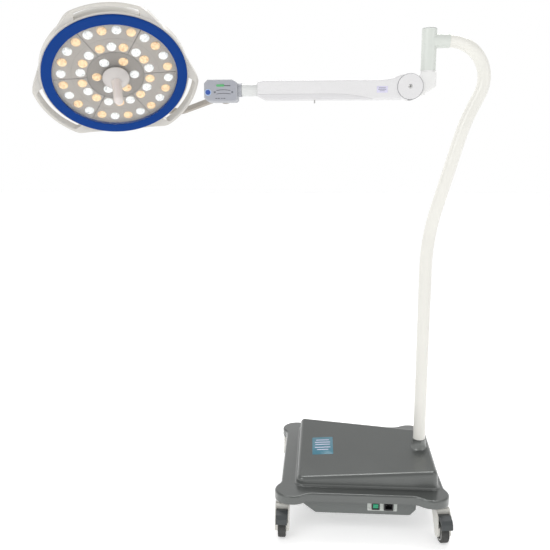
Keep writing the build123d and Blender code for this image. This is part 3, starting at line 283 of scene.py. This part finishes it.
mats = {
    "base_shell": pearl("pearl_grey", (0.115, 0.122, 0.118)),
    "steel_plate": enamel("black_steel", (0.03, 0.03, 0.032)),
    "iron": moulded("cast_iron", (0.04, 0.04, 0.042), (0.7, 0.9), 300.0, 0.6),
    "battery_case": moulded("battery_case", (0.02, 0.022, 0.025)),
    "supply_case": metal("supply_case", (0.55, 0.56, 0.57)),
    "tray_sheet": enamel("tray_paint", (0.115, 0.125, 0.12), coat=0.2),
    "inlet_plastic": moulded("inlet_black", (0.012, 0.012, 0.013), (0.25, 0.4)),
    "plate_metal": enamel("plate_paint", (0.44, 0.47, 0.44)),
    "screw_steel": metal("zinc_steel", (0.55, 0.55, 0.54)),
    "rocker_green": moulded("rocker_green", (0.012, 0.30, 0.15), (0.15, 0.25), 500.0, 0.03),
    "pole_enamel": enamel("pole_white", (0.78, 0.77, 0.72)),
    "collar_plastic": pearl("collar_grey", (0.16, 0.168, 0.162)),
    "column_enamel": enamel("column_grey", (0.64, 0.67, 0.63)),
    "cap_plastic": moulded("cap_grey", (0.52, 0.54, 0.52)),
    "bush_plastic": moulded("bush_natural", (0.75, 0.73, 0.66)),
    "caster_plastic": moulded("caster_cream", (0.74, 0.73, 0.68), (0.22, 0.36), coat=0.2),
    "caster_hub": moulded("wheel_grey", (0.40, 0.40, 0.39)),
    "caster_tyre": rubber("tyre_grey", (0.018, 0.019, 0.020)),
    "pedal_plastic": moulded("pedal_grey", (0.050, 0.056, 0.058)),
    "knuckle_enamel": enamel("knuckle_white", (0.76, 0.76, 0.75)),
    "arm_plastic": moulded("arm_white", (0.72, 0.715, 0.72), (0.30, 0.38), 700.0, 0.04, 0.01, 0.2),
    "arm_cover_plastic": moulded("arm_cover", (0.66, 0.655, 0.665), (0.30, 0.40), 700.0, 0.04, 0.01, 0.2),
    "spring_steel": metal("spring_steel", (0.25, 0.25, 0.26)),
    "tube_enamel": enamel("tube_grey", (0.66, 0.67, 0.66)),
    "box_plastic": moulded("box_grey", (0.40, 0.41, 0.44), (0.4, 0.55)),
    "panel_film": moulded("panel_film", (0.36, 0.37, 0.41), (0.3, 0.42), 1500.0, 0.04),
    "button_plastic": moulded("button_blue", (0.030, 0.085, 0.36), (0.2, 0.3)),
    # The yoke's colour is partly its own beige and partly painted shade: darkened to the tone of the beam
    # in shade.
    "yoke_enamel": enamel("yoke_beige_with_painted_shade", (0.34, 0.305, 0.26)),
    "bracket_metal": enamel("bracket_grey", (0.42, 0.40, 0.37)),
    "head_plastic": moulded("head_grey", (0.62, 0.60, 0.56), (0.26, 0.38), coat=0.25),
    "grip_plastic": moulded("grip_grey", (0.60, 0.58, 0.54), (0.3, 0.42), 1100.0, 0.18),
    "carrier_plastic": face_paint(
        "carrier_beige", (0.24, 0.215, 0.19), (0.37, 0.335, 0.30), face_at(FACE_LOW), INNER_RING_R
    ),
    "board_laminate": moulded("board_green", (0.01, 0.10, 0.04), (0.3, 0.4)),
    "lens_warm": glowing("lens_warm", (1.0, 0.70, 0.38), 0.36, (0.62, 0.30, 0.11)),
    "lens_white": glowing("lens_white", (0.94, 0.96, 0.95), 0.36, (0.42, 0.44, 0.44)),
    "front_glass": clear("front_glass", (0.9, 0.92, 0.92), 0.06),
    "bezel_blue": enamel(
        "bezel_blue", (0.0008, 0.040, 0.225), (0.34, 0.44), coat=0.02, Specular_IOR_Level=0.10
    ),
    "flange_plastic": moulded("flange_grey", (0.60, 0.57, 0.55), (0.18, 0.3), coat=0.3),
    "handle_plastic": moulded("handle_grey", (0.70, 0.64, 0.61), (0.16, 0.28), 900.0, 0.04, 0.03, 0.5),
}

for part in record["subparts"]:
    node = nodes[part["node"]]
    node.data.materials.clear()
    node.data.materials.append(mats[part["material_slot"]])


# ---------------------------------------------------------------- helpers

def mesh_piece(name, bm, body, mat, smooth=True):
    """Makes a finished bmesh into a piece that rides on a body."""
    mesh = bpy.data.meshes.new(name)
    bm.to_mesh(mesh)
    bm.free()
    piece = bpy.data.objects.new(name, mesh)
    bpy.context.scene.collection.objects.link(piece)
    mesh.materials.append(mat)
    for polygon in mesh.polygons:
        polygon.use_smooth = smooth
    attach(piece, body)
    return piece


def plate(bm, origin, u, v, w, width, height, thick, radius, steps=6):
    """A thin plate with round corners, centred on origin; w is the way it faces."""
    corners = []
    for sx, sy, start in ((1, 1, 0), (-1, 1, 90), (-1, -1, 180), (1, -1, 270)):
        cx, cy = sx * (width / 2 - radius), sy * (height / 2 - radius)
        for k in range(steps + 1):
            t = math.radians(start + 90 * k / steps)
            corners.append((cx + radius * math.cos(t), cy + radius * math.sin(t)))
    rings = []
    for inset, lift in ((0.0, 0.0), (0.0, 0.7 * thick), (0.3 * thick, thick)):
        kx, ky = 1 - 2 * inset / width, 1 - 2 * inset / height
        rings.append([bm.verts.new(origin + u * x * kx + v * y * ky + w * lift) for x, y in corners])
    count = len(corners)
    for low, high in zip(rings, rings[1:]):
        for k in range(count):
            bm.faces.new((low[k], low[(k + 1) % count], high[(k + 1) % count], high[k]))
    bm.faces.new(rings[-1])
    bm.faces.new(list(reversed(rings[0])))


X, Y, Z = Vector((1, 0, 0)), Vector((0, 1, 0)), Vector((0, 0, 1))


def strip(bm, centre_line, across, up, width, thick):
    """A thin raised line that follows a row of points."""
    rows = []
    for at, side in zip(centre_line, across):
        low = [at - side * width / 2, at + side * width / 2]
        high = [at + side * width / 2 + up * thick, at - side * width / 2 + up * thick]
        rows.append([bm.verts.new(v) for v in low + high])
    for a, b in zip(rows, rows[1:]):
        for k in range(4):
            bm.faces.new((a[k], b[k], b[(k + 1) % 4], a[(k + 1) % 4]))
    bm.faces.new(rows[0])
    bm.faces.new(list(reversed(rows[-1])))


def ring(bm, centre, u, v, up, radius, width, thick, steps=96):
    """A thin raised ring."""
    points, across = [], []
    for k in range(steps + 1):
        t = 2 * math.pi * k / steps
        out = u * math.cos(t) + v * math.sin(t)
        points.append(centre + out * radius)
        across.append(out)
    strip(bm, points, across, up, width, thick)
    bmesh.ops.remove_doubles(bm, verts=bm.verts, dist=1e-6)


def dome(bm, centre, u, v, up, radius, height, steps=20, rings=5):
    """A shallow lens: a round cap that stands on a disc."""
    rows = []
    for i in range(rings):
        t = (math.pi / 2) * i / rings
        r, h = radius * math.cos(t), height * math.sin(t)
        angles = [2 * math.pi * k / steps for k in range(steps)]
        rows.append(
            [bm.verts.new(centre + (u * math.cos(a) + v * math.sin(a)) * r + up * h) for a in angles]
        )
    for low, high in zip(rows, rows[1:]):
        for k in range(steps):
            bm.faces.new((low[k], low[(k + 1) % steps], high[(k + 1) % steps], high[k]))
    top = bm.verts.new(centre + up * height)
    for k in range(steps):
        bm.faces.new((rows[-1][k], rows[-1][(k + 1) % steps], top))
    bm.faces.new(list(reversed(rows[0])))


def islands(mesh):
    """The separate lumps of a mesh, each as the list of its points."""
    bm = bmesh.new()
    bm.from_mesh(mesh)
    bmesh.ops.remove_doubles(bm, verts=bm.verts, dist=1e-6)
    left = set(bm.verts)
    lumps = []
    while left:
        stack = [left.pop()]
        lump = []
        while stack:
            vert = stack.pop()
            lump.append(vert.co.copy())
            for edge in vert.link_edges:
                other = edge.other_vert(vert)
                if other in left:
                    left.remove(other)
                    stack.append(other)
        lumps.append(lump)
    bm.free()
    return lumps


# ---------------------------------------------------------------- lamp face

def lens_set(node, mat):
    """Domed lenses in the places of one colour's CAD lenses."""
    bm = bmesh.new()
    for lump in islands(nodes[node].data):
        heights = [(p - HEAD).dot(FACE) for p in lump]
        foot, tip = min(heights), max(heights)
        middle = sum(lump, Vector()) / len(lump)
        centre = middle + FACE * (foot - (middle - HEAD).dot(FACE))
        radius = max((p - centre - FACE * (p - centre).dot(FACE)).length for p in lump)
        seat = centre + FACE * LENS_SEAT
        dome(bm, seat, HEAD_X, HEAD_Y, FACE, radius, tip - foot - LENS_SEAT)
    piece = mesh_piece(node + "_domes", bm, "head", mat)
    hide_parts(node)


lens_set("lenses_warm", mats["lens_warm"])
lens_set("lenses_white", mats["lens_white"])

# The dark line colour: print and seams, and also painted shade in the pivot screw's cross recess.
ink_and_shade = moulded("line_ink_and_shade", (0.030, 0.028, 0.026), (0.5, 0.7), 900.0, 0.05)
pale_line = moulded("line_pale", (0.30, 0.28, 0.26), (0.4, 0.6), 900.0, 0.05)


def face_seams():
    """The lines between the face's panels."""
    bm = bmesh.new()
    for k in range(SEAM_COUNT):
        angle = SEAM_START + k * 360 / SEAM_COUNT
        out = face_at(0, 1, angle) - face_at(0)
        side = FACE.cross(out)
        points = [face_at(FACE_LOW, r, angle) for r in SEAM_RADII]
        strip(bm, points, [side] * len(points), FACE, 0.0022, 0.0003)
    mesh_piece("face_seams", bm, "head", ink_and_shade)


def face_ring(name, mat, radius, width, thick):
    """A ring drawn on the lamp's face."""
    bm = bmesh.new()
    ring(bm, face_at(FACE_LOW), HEAD_X, HEAD_Y, FACE, radius, width, thick)
    mesh_piece(name, bm, "head", mat)


face_seams()
face_ring("face_ring_inner", ink_and_shade, INNER_RING_R, 0.0020, 0.0004)
face_ring("face_ring_outer", pale_line, OUTER_RING_R, 0.0018, 0.0003)


# ---------------------------------------------------------------- arm spring

def arm_spring(wire=0.0016, turns=24, steps=20, sides=8):
    """The coil that the rod's flange presses."""
    low, high = (Vector(v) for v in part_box("arm_spring"))
    middle = (low + high) / 2
    radius = (high.z - low.z) / 2 - wire
    length = high.x - low.x - 2 * wire
    round_wire = [2 * math.pi * i / sides for i in range(sides)]
    bm = bmesh.new()
    rows = []
    for k in range(turns * steps + 1):
        t = 2 * math.pi * k / steps
        out = Y * math.cos(t) + Z * math.sin(t)
        x = low.x + wire + length * k / (turns * steps)
        at = Vector((x, middle.y, middle.z)) + out * radius
        rows.append(
            [bm.verts.new(at + (out * math.cos(a) + X * math.sin(a)) * wire) for a in round_wire]
        )
    for here, after in zip(rows, rows[1:]):
        for i in range(sides):
            j = (i + 1) % sides
            bm.faces.new((here[i], here[j], after[j], after[i]))
    bm.faces.new(list(reversed(rows[0])))
    bm.faces.new(rows[-1])
    piece = mesh_piece("arm_spring_coil", bm, "arm", mats["spring_steel"])
    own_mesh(piece)
    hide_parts("arm_spring")


arm_spring()


# ---------------------------------------------------------------- control panel

panel_front = Vector(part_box("control_panel")[0]).y
button_low, button_high = (Vector(v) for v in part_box("power_button"))
button_at = (button_low + button_high) / 2


def on_panel(x, z, lift=0.0):
    """A point of the panel's face, from the power button's middle."""
    return Vector((button_at.x + x, panel_front - lift, button_at.z + z))


def marks(name, mat, *plates):
    """Printed marks: each is x, z, width and height, from the power button."""
    bm = bmesh.new()
    for x, z, width, height in plates:
        plate(bm, on_panel(x, z), X, Z, -Y, width, height, 0.0003, 0.3 * min(width, height), 3)
    mesh_piece(name, bm, "control", mat)


print_dark = moulded("print_dark", (0.055, 0.058, 0.065), (0.4, 0.55), 1500.0, 0.03)
print_grey = moulded("print_grey", (0.16, 0.17, 0.19), (0.4, 0.55), 1500.0, 0.03)
print_green = moulded("print_green", (0.10, 0.42, 0.16), (0.3, 0.45), 1500.0, 0.03)
print_halo = moulded("print_halo", (0.42, 0.55, 0.80), (0.3, 0.45), 1500.0, 0.03)


def button_halo():
    """The light ring printed round the power button."""
    bm = bmesh.new()
    ring(bm, on_panel(0, 0), X, Z, -Y, 0.0102, 0.0028, 0.0004, 48)
    mesh_piece("button_halo", bm, "control", print_halo)


def panel_waves(start=0.030, width=0.050, crest=0.0022, count=14):
    """Two printed arcs, one over and one under the middle of the panel."""
    bm = bmesh.new()
    for row in (0.006, -0.006):
        points = [
            on_panel(start + width * k / count, row + crest * math.sin(math.pi * k / count))
            for k in range(count + 1)
        ]
        strip(bm, points, [Z] * len(points), -Y, 0.0016, 0.0003)
    mesh_piece("panel_waves", bm, "control", print_dark)


button_halo()
marks("panel_bar", print_green, (0.044, 0.023, 0.028, 0.008))
marks("panel_dash", print_dark, (0.069, 0.022, 0.022, 0.0025))
marks("panel_dots", print_grey, (0.024, 0.0, 0.007, 0.007), (0.086, 0.0, 0.007, 0.007))
marks(
    "panel_words",
    print_dark,
    (0.029, -0.021, 0.006, 0.0022),
    (0.038, -0.021, 0.008, 0.0022),
    (0.049, -0.021, 0.005, 0.0022),
    (0.058, -0.021, 0.007, 0.0022),
)
panel_waves()


# ---------------------------------------------------------------- arm and base labels

label_paint = moulded("label_lavender", (0.66, 0.64, 0.80), (0.35, 0.5), 1500.0, 0.03)
teal = moulded("label_teal", (0.05, 0.19, 0.26), (0.25, 0.4), 1500.0, 0.03)
arm_front = Vector(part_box("arm_shell")[0]).y
caps_low, caps_high = (Vector(v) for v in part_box("pivot_caps"))
pivot = (caps_low + caps_high) / 2


def arm_label(left=0.096, down=0.009, width=0.038, height=0.022):
    """The label beside the arm's pivot, with three lines of print."""
    at = Vector((pivot.x - left, arm_front, pivot.z - down))
    bm = bmesh.new()
    plate(bm, at, X, Z, -Y, width, height, 0.0004, 0.002)
    mesh_piece("arm_label", bm, "arm", label_paint)
    bm = bmesh.new()
    for row, length in ((0.005, 0.024), (0.0, 0.028), (-0.005, 0.018)):
        plate(bm, at + Z * row - Y * 0.0004, X, Z, -Y, length, 0.0016, 0.0002, 0.0004, 3)
    mesh_piece("arm_label_lines", bm, "arm", print_grey)


def pivot_details():
    """The line round the pivot's disc, and the cross-head screw in its middle, whose cross recess is
    drawn as a dark cross of painted shade.
    """
    cap_radius = (caps_high.x - caps_low.x) / 2
    cap_face = Vector((pivot.x, caps_low.y, pivot.z))
    bm = bmesh.new()
    ring(bm, Vector((pivot.x, arm_front, pivot.z)), X, Z, -Y, cap_radius + 0.0007, 0.0012, 0.0004)
    mesh_piece("pivot_outline", bm, "arm", print_grey)
    bm = bmesh.new()
    dome(bm, cap_face, X, Z, -Y, 0.0075, 0.0018, 24, 4)
    mesh_piece("pivot_screw", bm, "arm", mats["screw_steel"])
    bm = bmesh.new()
    # A dark cross of painted shade stands in for the screw's cross recess.
    for u, v in ((X, Z), (Z, X)):
        plate(bm, cap_face - Y * 0.0016, u, v, -Y, 0.007, 0.0013, 0.0004, 0.0004, 3)
    mesh_piece("pivot_screw_cross_shade", bm, "arm", ink_and_shade)


def deck_label(left=0.137, front=0.049, width=0.080, height=0.122):
    """The label that lies on the sloping deck, with five lines of print."""
    base_low, base_high = (Vector(v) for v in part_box("base_cover"))
    middle = (base_low + base_high) / 2
    over = Vector((middle.x - left, middle.y - front, base_high.z + 0.2))
    at, up = nodes["base_cover"].ray_cast(over, -Z)[1:3]
    along = (Y - up * up.y).normalized()
    across = along.cross(up)
    bm = bmesh.new()
    plate(bm, at, across, along, up, width, height, 0.0004, 0.003)
    mesh_piece("deck_label", bm, "stand", teal)
    rows = ((0.040, 0.050), (0.024, 0.060), (0.008, 0.056), (-0.012, 0.060), (-0.028, 0.044))
    bm = bmesh.new()
    for row, length in rows:
        line_at = at + along * row + up * 0.0004
        plate(bm, line_at, across, along, up, length, 0.005, 0.0002, 0.001, 3)
    mesh_piece("deck_label_lines", bm, "stand", label_paint)


arm_label()
pivot_details()
deck_label()


# ---------------------------------------------------------------- stage

def floor():
    bm = bmesh.new()
    bmesh.ops.create_grid(bm, x_segments=4, y_segments=4, size=30)
    mesh = bpy.data.meshes.new("floor")
    bm.to_mesh(mesh)
    bm.free()
    piece = bpy.data.objects.new("floor", mesh)
    bpy.context.scene.collection.objects.link(piece)
    m = Mat("floor_pale", Roughness=0.75, Specular_IOR_Level=0.1, Emission_Strength=0.45)
    pale = m.ramp(m.noise(1.5, 2.0), (0.3, (0.93, 0.93, 0.93)), (0.7, (0.95, 0.95, 0.95)))
    m.base(pale)
    m.link(pale, m.shader.inputs["Emission Color"])
    mesh.materials.append(m.mat)


floor()


def studio(low=(0.30, 1.0), high=(0.62, 0.50)):
    """The room's light: white near the floor and grey above; each end is height and tone."""
    world = bpy.data.worlds.new("studio")
    bpy.context.scene.world = world
    world.use_nodes = True
    sky = world.node_tree
    split = sky.nodes.new("ShaderNodeSeparateXYZ")
    sky.links.new(sky.nodes.new("ShaderNodeTexCoord").outputs["Generated"], split.inputs["Vector"])
    fade = sky.nodes.new("ShaderNodeValToRGB")
    for element, (position, tone) in zip(fade.color_ramp.elements, (low, high)):
        element.position = position
        element.color = (tone, tone, tone, 1.0)
    sky.links.new(split.outputs["Z"], fade.inputs["Fac"])
    sky.links.new(fade.outputs["Color"], sky.nodes["Background"].inputs["Color"])
    sky.nodes["Background"].inputs["Strength"].default_value = 1.0


studio()


def softbox(name, at, towards, size, power):
    light = bpy.data.lights.new(name, "AREA")
    light.shape = "RECTANGLE"
    light.size, light.size_y = size
    light.energy = power
    lamp = bpy.data.objects.new(name, light)
    lamp.location = at
    lamp.rotation_euler = (Vector(towards) - Vector(at)).to_track_quat("-Z", "Y").to_euler()
    bpy.context.scene.collection.objects.link(lamp)


softbox("key", (-2.2, -2.6, 3.2), (0.0, 0.0, 0.8), (1.6, 1.6), 30)
softbox("fill", (2.6, -1.8, 2.2), (0.1, 0.0, 0.8), (1.2, 2.0), 8)
softbox("top", (0.2, 0.9, 3.2), (0.0, 0.0, 0.2), (2.2, 0.9), 40)


def photo_camera(at=(-0.162, -2.470, 1.302), lens=42.9, down=9.49, left=3.81):
    """The photograph's camera: it looks down and to the left by these degrees."""
    camera = bpy.data.cameras.new("camera")
    camera.sensor_width = 36.0
    camera.lens = lens
    piece = bpy.data.objects.new("camera", camera)
    piece.location = at
    piece.rotation_euler = (math.pi / 2 - math.radians(down), 0.0, math.radians(left))
    bpy.context.scene.collection.objects.link(piece)
    bpy.context.scene.camera = piece


photo_camera()
bpy.context.scene.view_settings.view_transform = "Standard"
